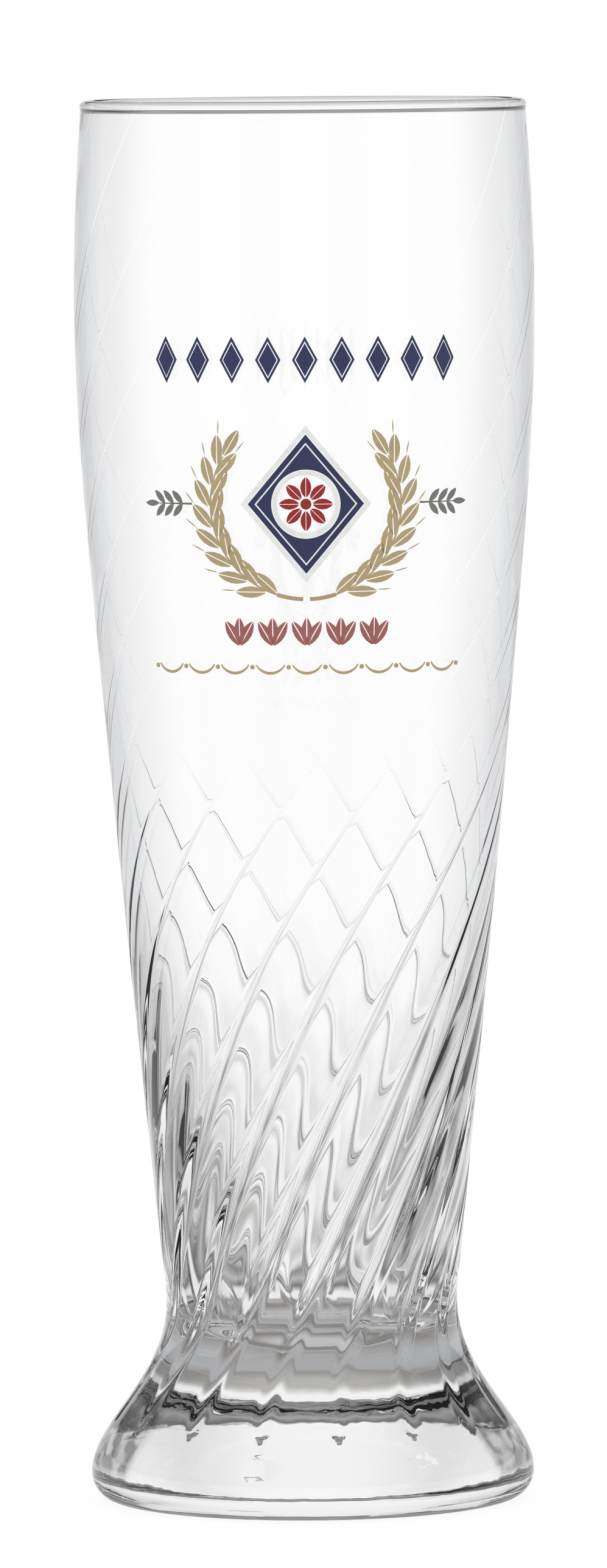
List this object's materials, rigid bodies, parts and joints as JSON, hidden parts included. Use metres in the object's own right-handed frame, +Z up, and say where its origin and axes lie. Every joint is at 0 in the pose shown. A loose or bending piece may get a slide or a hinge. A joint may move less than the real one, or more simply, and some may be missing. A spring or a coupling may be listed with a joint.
{
  "type": "weizen glass",
  "caption": "Tall wheat-beer glass with a heavy round foot, narrow waist, helical flutes that fade up the bowl, and a fired-on ornamental print on the front.",
  "frame": {"origin": "centre of the foot's resting plane", "axes": "+Z up along the glass's axis; -Y is the printed front, as the picture shows it; +X to the viewer's right"},
  "size_m": [0.0804, 0.0804, 0.245],
  "materials": {
    "clear_glass": "clear moulded soda-lime glass, fire-polished",
    "gold_print": "fired-on dull gold print",
    "navy_print": "fired-on navy enamel",
    "white_print": "fired-on white enamel",
    "red_print": "fired-on red enamel",
    "dusty_red_print": "fired-on muted red enamel",
    "grey_print": "fired-on grey enamel"
  },
  "bodies": {
    "root": {"glass_body": "clear_glass", "gold_wheat_ears": "gold_print", "navy_lozenge_field": "navy_print", "white_keylines": "white_print", "red_rosette": "red_print", "navy_frieze": "navy_print", "red_leaf_band": "dusty_red_print", "gold_swags": "gold_print", "grey_sprigs": "grey_print"}
  },
  "joints": []
}
